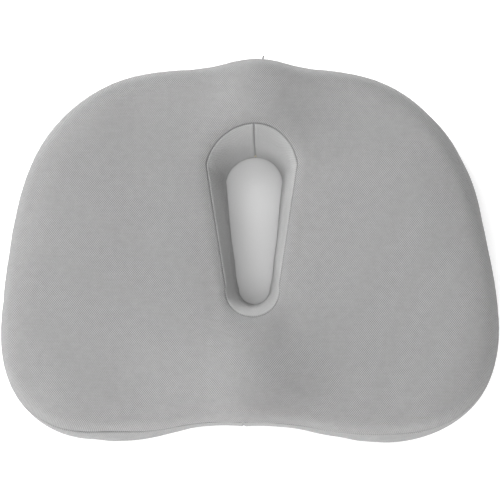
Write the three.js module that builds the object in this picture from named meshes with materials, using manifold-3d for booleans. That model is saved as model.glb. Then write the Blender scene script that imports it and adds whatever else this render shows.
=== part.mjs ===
// Contoured foam seat cushion with an egg-shaped relief hole and a zip-off fabric cover.
// Millimetres, +Z up, +Y towards the rear (the backrest's side), +X to the right when looking from
// front to rear. The origin is on the floor, under the centre of the cushion's plan.
import * as THREE from "three";
import { mergeVertices } from "three/addons/utils/BufferGeometryUtils.js";
import Module from "manifold-3d";

const wasm = await Module();
wasm.setup();

// ---------------------------------------------------------------- driving dimensions

// The plan outline at its widest level. Its two sewn halves differ slightly.
const OUTLINE_RIGHT = [
  [0, 177.1],
  [38, 172],
  [76, 167.4],
  [116, 159.1],
  [157.6, 136.7],
  [191.2, 100.8],
  [211.5, 55],
  [222.5, 1],
  [229.3, -49],
  [229, -95],
  [214, -135.4],
  [177, -166.4],
  [135.5, -177.7],
  [92, -175.4],
  [46, -166.4],
  [0, -163.6],
];
const OUTLINE_LEFT = [
  [-46, -165],
  [-92, -173.8],
  [-135.5, -176.2],
  [-179.2, -166.7],
  [-214.8, -136.2],
  [-228.6, -95],
  [-228, -49],
  [-222.3, 1],
  [-211.8, 55],
  [-192.2, 101.4],
  [-159.3, 137.9],
  [-116.7, 161],
  [-76, 168.6],
  [-38, 172.4],
];
// The relief hole is an egg in plan: two arcs joined by tangent lines.
const RIM_EGG = { rearY: 70.1, rearR: 42.4, frontY: -41.3, frontR: 24.6 };
const BASE_EGG = { rearY: 67.6, rearR: 27, frontY: -33.4, frontR: 13.3 };
const BASE_BOW = 2.2; // the sides of the lower opening bow out by this much
const NOSE_BOW = 1.5; // and by this much more beside its narrow end

const PLATEAU = 69; // height of the seat surface away from its features
const SEAM_INSET = 1.4; // the top seam lies this far inside the widest outline
const LOBE_INSET = 5.8; // and this much further on the two front lobes
const FLANK_INSET = 6; // and on the right rear flank, where the cover sits a little twisted
const FOOT_INSET = 5; // the bottom seam lies this far inside it
const FOOT_FLAT_INSET = 13; // the flat underside starts this far inside it
const FOOT_Z = 6; // height of the bottom seam
const CROWN = { drop: 9, width: 38, power: 2.4 }; // the seat surface falls to the top seam gently
const SHOULDER = { drop: 8, width: 12, power: 2.6 }; // and then steeply
const RIM_FALL = { drop: 3.5, width: 10, power: 2 }; // and it falls into the relief hole
const SLEEVE_FOOT_Z = 1.4; // height of the seam round the hole's lower end
// The hole's wall is a Bezier curve from the foot to the rim: shares of the way across and up.
const SLEEVE_ACROSS = [0, 0.14, 0.46, 1];
const SLEEVE_UP = [0, 0.42, 0.86, 1];

const FABRIC = 1.2;
const LINER = 0.6;
const GAP = 0.3; // between layers, and where two sewn edges meet

// The zip runs round the rear on a true arc, so its slider turns about the arc's centre.
const ZIP_CENTRE_Y = -192.9;
const ZIP_WALL_R = 365; // the cover's outer wall along the zip
const ZIP_MID_Z = 12;
const ZIP_OPEN_TOP_Z = 18; // lower edge of the side band above the zip
const ZIP_WALL_FADE_Z = 34; // above this height the wall follows the outline again
const CHAIN_HALF = 134; // half of the chain's length along the arc
const ZIP_OPENING_CELLS = 5; // grid cells each side of the rear centre that stay open for the zip

const COLUMNS = 48; // divisions round the cushion
const COLOURS = {
  knit: 0xa8a8a8,
  grip: 0x8d8f92,
  liner: 0xf0efec,
  foam: 0xe9e4cf,
  tape: 0x9a9a9a,
  nylon: 0x8f8f8f,
  zinc: 0x86888b,
  label: 0xf4f3f0,
};

// ---------------------------------------------------------------- plan curves

// Closed outline, clockwise from the rear centre, read by arc length.
function outlineCurve() {
  const points = [...OUTLINE_RIGHT, ...OUTLINE_LEFT].map(([x, y]) => new THREE.Vector3(x, y, 0));
  const curve = new THREE.CatmullRomCurve3(points, true, "centripetal");
  curve.arcLengthDivisions = 1200;
  return curve;
}

// Closed egg, clockwise from its rear end, read by arc length.
function eggCurve({ rearY, rearR, frontY, frontR }) {
  const lean = Math.asin((rearR - frontR) / (rearY - frontY));
  const path = new THREE.Path();
  path.absarc(0, rearY, rearR, Math.PI / 2, lean, true);
  path.absarc(0, frontY, frontR, lean, -Math.PI - lean, true);
  path.absarc(0, rearY, rearR, Math.PI - lean, Math.PI / 2, true);
  return path;
}

const outline = outlineCurve();
const rimEgg = eggCurve(RIM_EGG);
const baseEgg = eggCurve(BASE_EGG);
const wrap = (u) => ((u % 1) + 1) % 1;
const flat = (p) => new THREE.Vector2(p.x, p.y);
const outlineAt = (u) => flat(outline.getPointAt(wrap(u)));
const rimAt = (u) => flat(rimEgg.getPointAt(wrap(u)));
const baseRimAt = (u) => flat(baseEgg.getPointAt(wrap(u)));

// Outward unit normal of the outline.
function outwardAt(u) {
  const t = outline.getTangentAt(wrap(u));
  return new THREE.Vector2(-t.y, t.x).normalize();
}

const bell = (d, width) => Math.exp(-((d / width) ** 2));
const smooth = (a, b, x) => THREE.MathUtils.smoothstep(x, a, b);

// The centre line isn't quite straight: the hole and the rear peak lie right of the middle.
const CENTRE_SHIFT_WIDTH = 75;

function shifted(p) {
  const shift = 4.3 + 3 * smooth(40, 180, p.y) - 8 * smooth(60, 165, -p.y);
  return new THREE.Vector2(p.x + shift * bell(p.x, CENTRE_SHIFT_WIDTH), p.y);
}

// A point this far inside the outline.
const insetAt = (u, inset) => outlineAt(u).addScaledVector(outwardAt(u), -inset);

function topInsetAt(u) {
  const p = outlineAt(u);
  const lobes = bell(Math.abs(p.x) - 125, 50) * smooth(90, 145, -p.y);
  const flank = bell(p.x - 200, 45) * bell(p.y - 75, 70);
  return SEAM_INSET + LOBE_INSET * lobes + FLANK_INSET * flank;
}

function lowerRimAt(u) {
  const p = baseRimAt(u);
  p.x += Math.sign(p.x) * (BASE_BOW * bell(p.y - 12, 38) + NOSE_BOW * bell(p.y + 23, 14));
  return p;
}

// ---------------------------------------------------------------- heights

// Seat surface before it falls to its edges.
function seatHeight(x, y) {
  const hipBowl = 5 * bell(Math.abs(x) - 78, 62) * bell(y - 35, 85);
  const holeDish = 7 * bell(x, 62) * bell(y - 25, 105);
  const thighBowl = 3 * bell(Math.abs(x) - 105, 55) * bell(y + 130, 60);
  const rearRidge = 13 * bell(x - 4, 46) * smooth(70, 130, y);
  const frontRidge = (7 * bell(x, 90) + 10 * bell(x, 38)) * smooth(40, 110, -y);
  const frontFall = 7 * smooth(10, 160, -y);
  return PLATEAU - hipBowl - holeDish - thighBowl + rearRidge + frontRidge - frontFall;
}

const bezier = ([a, b, c, d], t) =>
  a * (1 - t) ** 3 + 3 * b * t * (1 - t) ** 2 + 3 * c * t * t * (1 - t) + d * t ** 3;

const fall = (distance, { drop, width, power }) =>
  drop * Math.max(0, 1 - distance / width) ** power;

// ---------------------------------------------------------------- the cover's outer surface

// v runs from the seam round the hole (0) to the top seam (1).
function seatPoint(u, v) {
  const rim = rimAt(u);
  const seam = insetAt(u, topInsetAt(u));
  const p = rim.clone().lerp(seam, v);
  const toSeam = p.distanceTo(seam);
  const edgeFall = fall(toSeam, CROWN) + fall(toSeam, SHOULDER) + fall(p.distanceTo(rim), RIM_FALL);
  const place = shifted(p);
  return new THREE.Vector3(place.x, place.y, seatHeight(p.x, p.y) - edgeFall);
}

// How much the wall at this place belongs to the zip's arc.
function zipShare(p, z) {
  const along = smooth(-165, -143, -Math.abs(p.x)) * smooth(40, 100, p.y);
  return along * (1 - smooth(ZIP_OPEN_TOP_Z + 2, ZIP_WALL_FADE_Z, z));
}

// A wall point at this inset and height, drawn onto the zip's arc at the rear.
function wallPoint(u, inset, z) {
  const p = shifted(insetAt(u, inset));
  const share = zipShare(p, z);
  if (share > 0) {
    const centre = new THREE.Vector2(0, ZIP_CENTRE_Y);
    const extra = Math.max(0, inset - FOOT_INSET);
    const arc = p.clone().sub(centre).setLength(ZIP_WALL_R - extra).add(centre);
    p.lerp(arc, share);
  }
  return new THREE.Vector3(p.x, p.y, z);
}

// t runs from the top seam (0) down to the bottom seam (1).
function bandPoint(u, t) {
  const top = seatPoint(u, 1).z;
  const z = THREE.MathUtils.lerp(top, FOOT_Z, t);
  const swell = Math.sin(Math.PI * Math.min(1, t) ** 0.9);
  const inset = THREE.MathUtils.lerp(topInsetAt(u), FOOT_INSET, t) * (1 - swell);
  return wallPoint(u, inset, z);
}

// The share of the band's height at which it reaches height z.
const bandShare = (u, z) => (seatPoint(u, 1).z - z) / (seatPoint(u, 1).z - FOOT_Z);

// t runs from the bottom seam (0) round the lower edge to the flat underside (1).
function edgePoint(u, t) {
  const angle = (t * Math.PI) / 2;
  const inset = THREE.MathUtils.lerp(FOOT_INSET, FOOT_FLAT_INSET, 1 - Math.cos(angle));
  return wallPoint(u, inset, FOOT_Z * (1 - Math.sin(angle)));
}

// t runs across the flat underside from its outer edge (0) to the hole (1).
function undersidePoint(u, t) {
  const outer = edgePoint(u, 1);
  const inner = shifted(lowerRimAt(u));
  return new THREE.Vector3(
    THREE.MathUtils.lerp(outer.x, inner.x, t),
    THREE.MathUtils.lerp(outer.y, inner.y, t),
    0,
  );
}

// t runs up the hole's wall from its lower seam (0) to the rim (1).
function sleevePoint(u, t) {
  const p = shifted(lowerRimAt(u).lerp(rimAt(u), bezier(SLEEVE_ACROSS, t)));
  const top = seatPoint(u, 0).z;
  return new THREE.Vector3(p.x, p.y, THREE.MathUtils.lerp(SLEEVE_FOOT_Z, top, bezier(SLEEVE_UP, t)));
}

// ---------------------------------------------------------------- grid of the whole surface

const SEAT_ROWS = [0, 0.05, 0.14, 0.33, 0.56, 0.74, 0.86, 0.93, 0.975, 1];
const BAND_ROWS = [0.25, 0.5, 0.75];
const EDGE_ROWS = [0, 0.5, 1];
const UNDERSIDE_ROWS = [0.5, 0.97];
const SLEEVE_ROWS = [0, 0.1, 0.4, 0.7];

const bandTo = (u, share) => bandPoint(u, share * bandShare(u, ZIP_OPEN_TOP_Z));
const ROWS = [
  ...SEAT_ROWS.map((v) => (u) => seatPoint(u, v)),
  ...BAND_ROWS.map((s) => (u) => bandTo(u, s)),
  (u) => bandTo(u, 1),
  ...EDGE_ROWS.map((t) => (u) => edgePoint(u, t)),
  ...UNDERSIDE_ROWS.map((t) => (u) => undersidePoint(u, t)),
  ...SLEEVE_ROWS.map((t) => (u) => sleevePoint(u, t)),
];
const ROW = {
  rimSeam: 0,
  topSeam: SEAT_ROWS.length - 1,
  zipTop: SEAT_ROWS.length + BAND_ROWS.length,
  bottomSeam: SEAT_ROWS.length + BAND_ROWS.length + 1,
  sleeveFoot: ROWS.length - SLEEVE_ROWS.length,
};

const at = (g, r, c) => g[(r + ROWS.length) % ROWS.length][(c + COLUMNS) % COLUMNS];
const mapGrid = (g, change) => g.map((row, r) => row.map((p, c) => change(p, r, c)));

// The same surface moved inwards by depthOf(row).
function inwards(g, depthOf) {
  return mapGrid(g, (p, r, c) => {
    const along = at(g, r, c + 1).clone().sub(at(g, r, c - 1));
    const across = at(g, r + 1, c).clone().sub(at(g, r - 1, c));
    return p.clone().addScaledVector(along.cross(across).normalize(), -depthOf(r));
  });
}

const skin = ROWS.map((row) => Array.from({ length: COLUMNS }, (_, c) => row(c / COLUMNS)));

// ---------------------------------------------------------------- mesh helpers

function geometryOf(triangles) {
  const positions = triangles.flatMap((t) => t.flatMap((p) => [p.x, p.y, p.z]));
  const geometry = new THREE.BufferGeometry();
  geometry.setAttribute("position", new THREE.Float32BufferAttribute(positions, 3));
  return mergeVertices(geometry, 1e-3);
}

const quad = (a, b, c, d) => [
  [a, b, c],
  [a, c, d],
];

// The corners of a grid cell, anticlockwise seen from outside, starting at its first row and column.
const cornersOf = (r, c) => [
  [r, c],
  [r, c + 1],
  [r + 1, c + 1],
  [r + 1, c],
];

// Closed ring surface through every row and column.
function ringGeometry(surface) {
  const triangles = [];
  for (let r = 0; r < ROWS.length; r++)
    for (let c = 0; c < COLUMNS; c++)
      triangles.push(...quad(...cornersOf(r, c).map((corner) => at(surface, ...corner))));
  return geometryOf(triangles);
}

// Sheet between two surfaces, over the cells from row r0 to r1 that keep(row, column) accepts.
// Its free edges are drawn back by half a gap, so that it clears the sheet sewn to it.
function sheetGeometry(outer, inner, r0, r1, keep = () => true) {
  const kept = (r, c) => r >= r0 && r < r1 && keep(r, (c + COLUMNS) % COLUMNS);
  const count = (r, c) => (kept(r, c) ? 1 : 0);
  const trimmed = (surface, r, c) => {
    const home = at(surface, r, c);
    const nextRow = count(r, c) + count(r, c - 1);
    const lastRow = count(r - 1, c) + count(r - 1, c - 1);
    const nextColumn = count(r, c) + count(r - 1, c);
    const lastColumn = count(r, c - 1) + count(r - 1, c - 1);
    const down = Math.sign(nextRow - lastRow);
    const right = Math.sign(nextColumn - lastColumn);
    const moved = home.clone();
    for (const neighbour of [at(surface, r + down, c), at(surface, r, c + right)])
      if (neighbour !== home) moved.add(neighbour.clone().sub(home).setLength(GAP * 0.55));
    return moved;
  };
  const triangles = [];
  for (let r = r0; r < r1; r++)
    for (let c = 0; c < COLUMNS; c++) {
      if (!kept(r, c)) continue;
      const o = cornersOf(r, c).map((corner) => trimmed(outer, ...corner));
      const i = cornersOf(r, c).map((corner) => trimmed(inner, ...corner));
      triangles.push(...quad(...o), ...quad(i[0], i[3], i[2], i[1]));
      const neighbours = [kept(r - 1, c), kept(r, c + 1), kept(r + 1, c), kept(r, c - 1)];
      for (const [a, joined] of neighbours.entries()) {
        const b = (a + 1) % 4;
        if (!joined) triangles.push(...quad(o[b], o[a], i[a], i[b]));
      }
    }
  return geometryOf(triangles);
}

const meshes = [];

function addMesh(name, geometry, colour, options = {}, parent = null) {
  const material = new THREE.MeshStandardMaterial({
    color: colour,
    roughness: options.roughness ?? 0.95,
    metalness: options.metalness ?? 0,
  });
  const mesh = new THREE.Mesh(geometry, material);
  mesh.name = name;
  if (parent) parent.add(mesh);
  else meshes.push(mesh);
  return mesh;
}

// Solid of manifold-3d from a closed three.js geometry.
function solidOf(geometry) {
  const bare = (geometry.index ? geometry.toNonIndexed() : geometry.clone());
  bare.deleteAttribute("normal");
  bare.deleteAttribute("uv");
  const merged = mergeVertices(bare, 1e-4);
  return new wasm.Manifold(
    new wasm.Mesh({
      numProp: 3,
      vertProperties: merged.attributes.position.array,
      triVerts: new Uint32Array(merged.index.array),
    }),
  );
}

function geometryOfSolid(solid) {
  const mesh = solid.getMesh();
  const geometry = new THREE.BufferGeometry();
  geometry.setAttribute("position", new THREE.BufferAttribute(mesh.vertProperties, 3));
  geometry.setIndex(new THREE.BufferAttribute(mesh.triVerts, 1));
  return geometry;
}

// ---------------------------------------------------------------- foam and inner liner

// Under the cover the lower edge is cut back further, which leaves room for the zip's slider.
const LOWER_EDGE_RELIEF = 5;
const atLowerEdge = (r) => r >= ROW.zipTop && r <= ROW.bottomSeam + 1;
const linerSkin = inwards(skin, (r) => FABRIC + GAP + (atLowerEdge(r) ? LOWER_EDGE_RELIEF : 0));
const linerSurfaces = [linerSkin, inwards(linerSkin, () => LINER)];

addMesh("foam_core", ringGeometry(inwards(linerSkin, () => LINER + GAP)), COLOURS.foam);
addMesh(
  "inner_liner_upper",
  sheetGeometry(...linerSurfaces, ROW.rimSeam, ROW.bottomSeam + 1),
  COLOURS.liner,
);
addMesh(
  "inner_liner_lower",
  sheetGeometry(...linerSurfaces, ROW.bottomSeam + 1, ROWS.length),
  COLOURS.liner,
);

// ---------------------------------------------------------------- outer cover

const coverSurfaces = [skin, inwards(skin, () => FABRIC)];
const zipCell = (c) => c < ZIP_OPENING_CELLS || c >= COLUMNS - ZIP_OPENING_CELLS;
const besideZip = (r, c) => r < ROW.zipTop || !zipCell(c);
const HALF_COLUMNS = COLUMNS / 2;

addMesh(
  "cover_top_panel",
  sheetGeometry(...coverSurfaces, ROW.rimSeam, ROW.topSeam),
  COLOURS.knit,
);
for (const [side, isMine] of [
  ["right", (c) => c < HALF_COLUMNS],
  ["left", (c) => c >= HALF_COLUMNS],
])
  addMesh(
    `cover_side_band_${side}`,
    sheetGeometry(
      ...coverSurfaces,
      ROW.topSeam,
      ROW.bottomSeam,
      (r, c) => isMine(c) && besideZip(r, c),
    ),
    COLOURS.knit,
  );
addMesh(
  "cover_bottom_panel",
  sheetGeometry(...coverSurfaces, ROW.bottomSeam, ROW.sleeveFoot),
  COLOURS.grip,
);
addMesh(
  "cover_hole_sleeve",
  sheetGeometry(...coverSurfaces, ROW.sleeveFoot, ROWS.length),
  COLOURS.knit,
);

// ---------------------------------------------------------------- care label

// Blank folded label, sewn into the bottom seam behind the left corner.
const LABEL = { from: 0.795, to: 0.82, low: 0.62, high: 1, lift: 0.4, thick: 0.5 };

function labelGeometry() {
  const steps = 3;
  const outward = outwardAt((LABEL.from + LABEL.to) / 2);
  const sheetAt = (lift) => (r, c) => {
    const u = THREE.MathUtils.lerp(LABEL.from, LABEL.to, c / steps);
    const t = THREE.MathUtils.lerp(LABEL.low, LABEL.high, r / steps);
    return bandPoint(u, t).add(new THREE.Vector3(outward.x, outward.y, 0).multiplyScalar(lift));
  };
  const outer = sheetAt(LABEL.lift + LABEL.thick);
  const inner = sheetAt(LABEL.lift);
  const triangles = [];
  for (let r = 0; r < steps; r++)
    for (let c = 0; c < steps; c++) {
      triangles.push(...quad(...cornersOf(r, c).map((corner) => outer(...corner))));
      triangles.push(...quad(...cornersOf(r, c).reverse().map((corner) => inner(...corner))));
    }
  const border = [];
  for (let k = 0; k < steps; k++) border.push([0, k]);
  for (let k = 0; k < steps; k++) border.push([k, steps]);
  for (let k = 0; k < steps; k++) border.push([steps, steps - k]);
  for (let k = 0; k < steps; k++) border.push([steps - k, 0]);
  for (const [k, a] of border.entries()) {
    const b = border[(k + 1) % border.length];
    triangles.push(...quad(outer(...b), outer(...a), inner(...a), inner(...b)));
  }
  return geometryOf(triangles);
}

addMesh("care_label", labelGeometry(), COLOURS.label);

// ---------------------------------------------------------------- zip: tapes, chain and stops

const TAPE = { r0: 361.9, r1: 362.5, top: 21, foot: 5, half: 142 };
const COIL = { r0: 362.8, r1: 365.2, width: 2.35, parting: 1.1 };
const ARC_STEPS = 36;

// Bar of rectangular section that follows the zip's arc, from one arc length to another.
function arcBar(s0, s1, r0, r1, z0, z1, steps) {
  const section = (s) => {
    const angle = s / ZIP_WALL_R;
    const point = (r, z) =>
      new THREE.Vector3(r * Math.sin(angle), ZIP_CENTRE_Y + r * Math.cos(angle), z);
    return [point(r0, z0), point(r1, z0), point(r1, z1), point(r0, z1)];
  };
  const rings = Array.from({ length: steps + 1 }, (_, k) =>
    section(THREE.MathUtils.lerp(s0, s1, k / steps)),
  );
  const triangles = [...quad(...[...rings[0]].reverse()), ...quad(...rings[steps])];
  for (let k = 0; k < steps; k++)
    for (let e = 0; e < 4; e++) {
      const f = (e + 1) % 4;
      triangles.push(...quad(rings[k][e], rings[k][f], rings[k + 1][f], rings[k + 1][e]));
    }
  return geometryOf(triangles);
}

const halfParting = COIL.parting / 2;
const tape = (z0, z1) => arcBar(-TAPE.half, TAPE.half, TAPE.r0, TAPE.r1, z0, z1, ARC_STEPS);
const coil = (z0, z1) => arcBar(-CHAIN_HALF, CHAIN_HALF, COIL.r0, COIL.r1, z0, z1, ARC_STEPS);
const upperCoil = [ZIP_MID_Z + halfParting, ZIP_MID_Z + halfParting + COIL.width];
const lowerCoil = [ZIP_MID_Z - halfParting - COIL.width, ZIP_MID_Z - halfParting];

addMesh("zip_tape_upper", tape(ZIP_MID_Z + halfParting, TAPE.top), COLOURS.tape);
addMesh("zip_tape_lower", tape(TAPE.foot, ZIP_MID_Z - halfParting), COLOURS.tape);
addMesh("zip_coil_upper", coil(...upperCoil), COLOURS.nylon, { roughness: 0.5 });
addMesh("zip_coil_lower", coil(...lowerCoil), COLOURS.nylon, { roughness: 0.5 });

const STOP = { length: 2.6, clear: 0.5 };
const stopFrom = CHAIN_HALF + STOP.clear;
const stopTo = stopFrom + STOP.length;
const zinc = { roughness: 0.35, metalness: 1 };
const stopBar = (s0, s1, z0, z1) => arcBar(s0, s1, COIL.r0, COIL.r1, z0, z1, 1);

addMesh("zip_top_stop_upper", stopBar(stopFrom, stopTo, ...upperCoil), COLOURS.zinc, zinc);
addMesh("zip_top_stop_lower", stopBar(stopFrom, stopTo, ...lowerCoil), COLOURS.zinc, zinc);
addMesh(
  "zip_bottom_stop",
  stopBar(-stopTo, -stopFrom, lowerCoil[0], upperCoil[1]),
  COLOURS.zinc,
  zinc,
);

// ---------------------------------------------------------------- slider and pull tab

// In the slider's own frame X runs along the zip, Y is the distance from the arc's centre.
const SLIDER = {
  length: 12,
  nose: 5.2, // width at the end where the chain is closed
  width: 8.2,
  inner: [360.4, 361.5],
  outer: [365.6, 366.8],
  flange: [362.9, 365.8],
  flangeWide: 0.9,
  post: { from: 2, to: 5, thick: 0.5 },
};
const BRIDGE = { half: 4, leg: 1.4, width: 2.4, crown: 1, rise: 3.5 };
const TAB = { bar: 1.2, thick: 1.2, width: 7, window: 3.6, windowTo: 5, length: 27, pivotR: 368.2 };

const rest = (CHAIN_HALF - 0.5 - SLIDER.length / 2) / ZIP_WALL_R; // parked against the top stops
const slider = new THREE.Group();
slider.position.set(0, ZIP_CENTRE_Y, 0);
slider.rotation.z = -rest;

function boxBetween(x0, x1, y0, y1, z0, z1) {
  const box = new THREE.BoxGeometry(x1 - x0, y1 - y0, z1 - z0);
  return box.translate((x0 + x1) / 2, (y0 + y1) / 2, (z0 + z1) / 2);
}

// Prism with a plan in X and Z, extruded along Y.
function plate(points, y0, y1) {
  const shape = new THREE.Shape(points.map(([x, z]) => new THREE.Vector2(x, -z)));
  const solid = new THREE.ExtrudeGeometry(shape, { depth: y1 - y0, bevelEnabled: false });
  return solid.rotateX(-Math.PI / 2).translate(0, y0, 0);
}

// Shield-shaped plan: full width at the +X end, narrower at the nose.
function shieldPlan() {
  const half = SLIDER.length / 2;
  const wide = SLIDER.width / 2;
  const nose = SLIDER.nose / 2 + SLIDER.flangeWide;
  return [
    [-half, ZIP_MID_Z - nose],
    [half - 3, ZIP_MID_Z - wide],
    [half - 0.8, ZIP_MID_Z - wide + 0.6],
    [half, ZIP_MID_Z - 1.8],
    [half, ZIP_MID_Z + 1.8],
    [half - 0.8, ZIP_MID_Z + wide - 0.6],
    [half - 3, ZIP_MID_Z + wide],
    [-half, ZIP_MID_Z + nose],
  ];
}

function sliderBody() {
  const half = SLIDER.length / 2;
  const shield = shieldPlan();
  let solid = solidOf(plate(shield, ...SLIDER.inner)).add(solidOf(plate(shield, ...SLIDER.outer)));
  const post = SLIDER.post;
  solid = solid.add(
    solidOf(
      boxBetween(
        post.from,
        post.to,
        SLIDER.inner[0] + 0.2,
        SLIDER.outer[1] - 0.2,
        ZIP_MID_Z - post.thick / 2,
        ZIP_MID_Z + post.thick / 2,
      ),
    ),
  );
  for (const side of [-1, 1]) {
    const outerEdge = ZIP_MID_Z + side * (SLIDER.width / 2 - 0.02);
    const innerEdge = outerEdge - side * SLIDER.flangeWide;
    const z = [Math.min(outerEdge, innerEdge), Math.max(outerEdge, innerEdge)];
    const flange = boxBetween(-half + 1, half - 3.4, ...SLIDER.flange, ...z);
    solid = solid.add(solidOf(flange));
  }
  return geometryOfSolid(solid);
}

function bridge() {
  const base = SLIDER.outer[1] + GAP;
  const top = SLIDER.outer[1] + BRIDGE.rise;
  const z = [ZIP_MID_Z - BRIDGE.width / 2, ZIP_MID_Z + BRIDGE.width / 2];
  const arch = solidOf(boxBetween(-BRIDGE.half, BRIDGE.half, base, top, ...z));
  const window = solidOf(
    boxBetween(
      -BRIDGE.half + BRIDGE.leg,
      BRIDGE.half - BRIDGE.leg,
      base - 1,
      top - BRIDGE.crown,
      z[0] - 1,
      z[1] + 1,
    ),
  );
  return geometryOfSolid(arch.subtract(window));
}

function pullTab() {
  const y = [TAB.pivotR - TAB.thick / 2, TAB.pivotR + TAB.thick / 2];
  const half = TAB.width / 2;
  const outlinePoints = [
    [TAB.bar / 2, -half + 1],
    [TAB.bar / 2, half - 1],
    [-TAB.windowTo - 2, half - 0.6],
    [-TAB.length * 0.6, half],
    [-TAB.length + 1.5, half - 0.3],
    [-TAB.length, half - 1.8],
    [-TAB.length, -half + 1.8],
    [-TAB.length + 1.5, -half + 0.3],
    [-TAB.length * 0.6, -half],
    [-TAB.windowTo - 2, -half + 0.6],
  ].map(([x, z]) => [x, z + ZIP_MID_Z]);
  const blade = solidOf(plate(outlinePoints.reverse(), ...y));
  const window = solidOf(
    boxBetween(
      -TAB.windowTo,
      -TAB.bar / 2,
      y[0] - 1,
      y[1] + 1,
      ZIP_MID_Z - TAB.window / 2,
      ZIP_MID_Z + TAB.window / 2,
    ),
  );
  return geometryOfSolid(blade.subtract(window));
}

addMesh("slider_body", sliderBody(), COLOURS.zinc, zinc, slider);
addMesh("slider_bridge", bridge(), COLOURS.zinc, zinc, slider);
addMesh("pull_tab", pullTab(), COLOURS.zinc, zinc, slider);

// ---------------------------------------------------------------- the part

const cushion = new THREE.Group();
cushion.add(...meshes, slider);

export default cushion;
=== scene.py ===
import math

import bmesh
import bpy
import numpy as np
from mathutils import Euler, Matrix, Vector


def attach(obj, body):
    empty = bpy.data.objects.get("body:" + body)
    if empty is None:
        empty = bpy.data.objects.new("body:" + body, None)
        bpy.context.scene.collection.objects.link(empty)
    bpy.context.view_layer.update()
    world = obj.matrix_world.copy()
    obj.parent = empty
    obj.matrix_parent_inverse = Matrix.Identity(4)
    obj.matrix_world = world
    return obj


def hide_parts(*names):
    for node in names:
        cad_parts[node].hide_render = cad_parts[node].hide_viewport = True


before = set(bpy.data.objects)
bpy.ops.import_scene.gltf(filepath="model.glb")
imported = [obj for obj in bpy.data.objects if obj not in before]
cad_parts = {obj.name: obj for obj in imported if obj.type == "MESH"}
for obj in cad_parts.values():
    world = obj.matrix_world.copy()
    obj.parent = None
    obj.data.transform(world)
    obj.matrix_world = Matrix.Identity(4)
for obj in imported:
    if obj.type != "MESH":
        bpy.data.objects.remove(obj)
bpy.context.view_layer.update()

# Seat cushion. Shapes are worked out in millimetres, in the frame's axes: +Z up, +Y to the rear.
MM = 0.001

# -------------------- driving dimensions

# The widest outline, clockwise from the rear centre. Its two sewn halves differ slightly.
OUTLINE_RIGHT = [
    (0, 177.1), (38, 172), (76, 167.4), (116, 159.1), (157.6, 136.7), (191.2, 100.8), (211.5, 55), (222.5, 1),
    (229.3, -49), (229, -95), (214, -135.4), (177, -166.4), (135.5, -177.7), (92, -175.4), (46, -166.4),
    (0, -163.6),
]
OUTLINE_LEFT = [
    (-46, -165), (-92, -173.8), (-135.5, -176.2), (-179.2, -166.7), (-214.8, -136.2), (-228.6, -95),
    (-228, -49), (-222.3, 1), (-211.8, 55), (-192.2, 101.4), (-159.3, 137.9), (-116.7, 161), (-76, 168.6),
    (-38, 172.4),
]
# The hole is an egg in plan: centre and radius of its rear arc, then of its front arc.
RIM_EGG = (70.1, 42.4, -41.3, 24.6)
BASE_EGG = (67.6, 27, -33.4, 13.3)
BASE_BOW = 2.2  # the sides of the lower opening bow out by this much
NOSE_BOW = 1.5  # and by this much more beside its narrow end

PLATEAU = 69
SEAM_INSET = 1.4
LOBE_INSET = 5.8  # more on the two front lobes
FLANK_INSET = 6  # and on the right rear flank, where the cover sits a little twisted
FOOT_INSET = 5
FOOT_FLAT_INSET = 13
FOOT_Z = 6
GRIP_DOT = 0.6  # the underside cloth lies this high, on its printed dots
CROWN_DROP = 9
CROWN_WIDTH = 38
SHOULDER_DROP = 8
SHOULDER_WIDTH = 12
RIM_DROP = 3.5
RIM_WIDTH = 10
SLEEVE_FOOT_Z = 1.4

ZIP_CENTRE_Y = -192.9
ZIP_WALL_R = 365
ZIP_OPEN_TOP_Z = 18
ZIP_WALL_FADE_Z = 34

FABRIC = 1.2
COLUMNS = 480
ZIP_OPENING_SHARE = 5 / 48  # of the way round, each side of the rear centre
CENTRE_SHIFT_WIDTH = 75

# -------------------- plan curves


def smoothstep(a, b, x):
    t = np.clip((x - a) / (b - a), 0, 1)
    return t * t * (3 - 2 * t)


def bell(distance, width):
    return np.exp(-((distance / width) ** 2))


def closed_spline(points, per_span=60):
    """Points along the smooth closed curve through the given ones."""
    p = np.asarray(points, float)
    n = len(p)
    span = np.linalg.norm(np.roll(p, -1, 0) - p, axis=1)
    matrix = np.zeros((n, n))
    target = np.zeros((n, 2))
    for i in range(n):
        j = (i + 1) % n
        matrix[i, i - 1] = span[i - 1]
        matrix[i, i] = 2 * (span[i - 1] + span[i])
        matrix[i, j] = span[i]
        target[i] = 6 * ((p[j] - p[i]) / span[i] - (p[i] - p[i - 1]) / span[i - 1])
    bend = np.linalg.solve(matrix, target)
    s = np.linspace(0, 1, per_span, endpoint=False)[:, None]
    pieces = []
    for i in range(n):
        j = (i + 1) % n
        straight = (1 - s) * p[i] + s * p[j]
        curved = ((1 - s) ** 3 - (1 - s)) * bend[i] + (s**3 - s) * bend[j]
        pieces.append(straight + span[i] ** 2 / 6 * curved)
    return np.vstack(pieces)


def egg(rear_y, rear_r, front_y, front_r, steps=400):
    """Clockwise from the rear end: an arc, a tangent line, an arc, a tangent line."""
    lean = math.asin((rear_r - front_r) / (rear_y - front_y))
    arcs = [
        (rear_y, rear_r, math.pi / 2, lean),
        (front_y, front_r, lean, -math.pi - lean),
        (rear_y, rear_r, math.pi - lean, math.pi / 2),
    ]
    pieces = []
    for y, r, start, end in arcs:
        angle = np.linspace(start, end, steps)
        pieces.append(np.stack([r * np.cos(angle), y + r * np.sin(angle)], 1))
    return np.vstack(pieces)[:-1]


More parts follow.
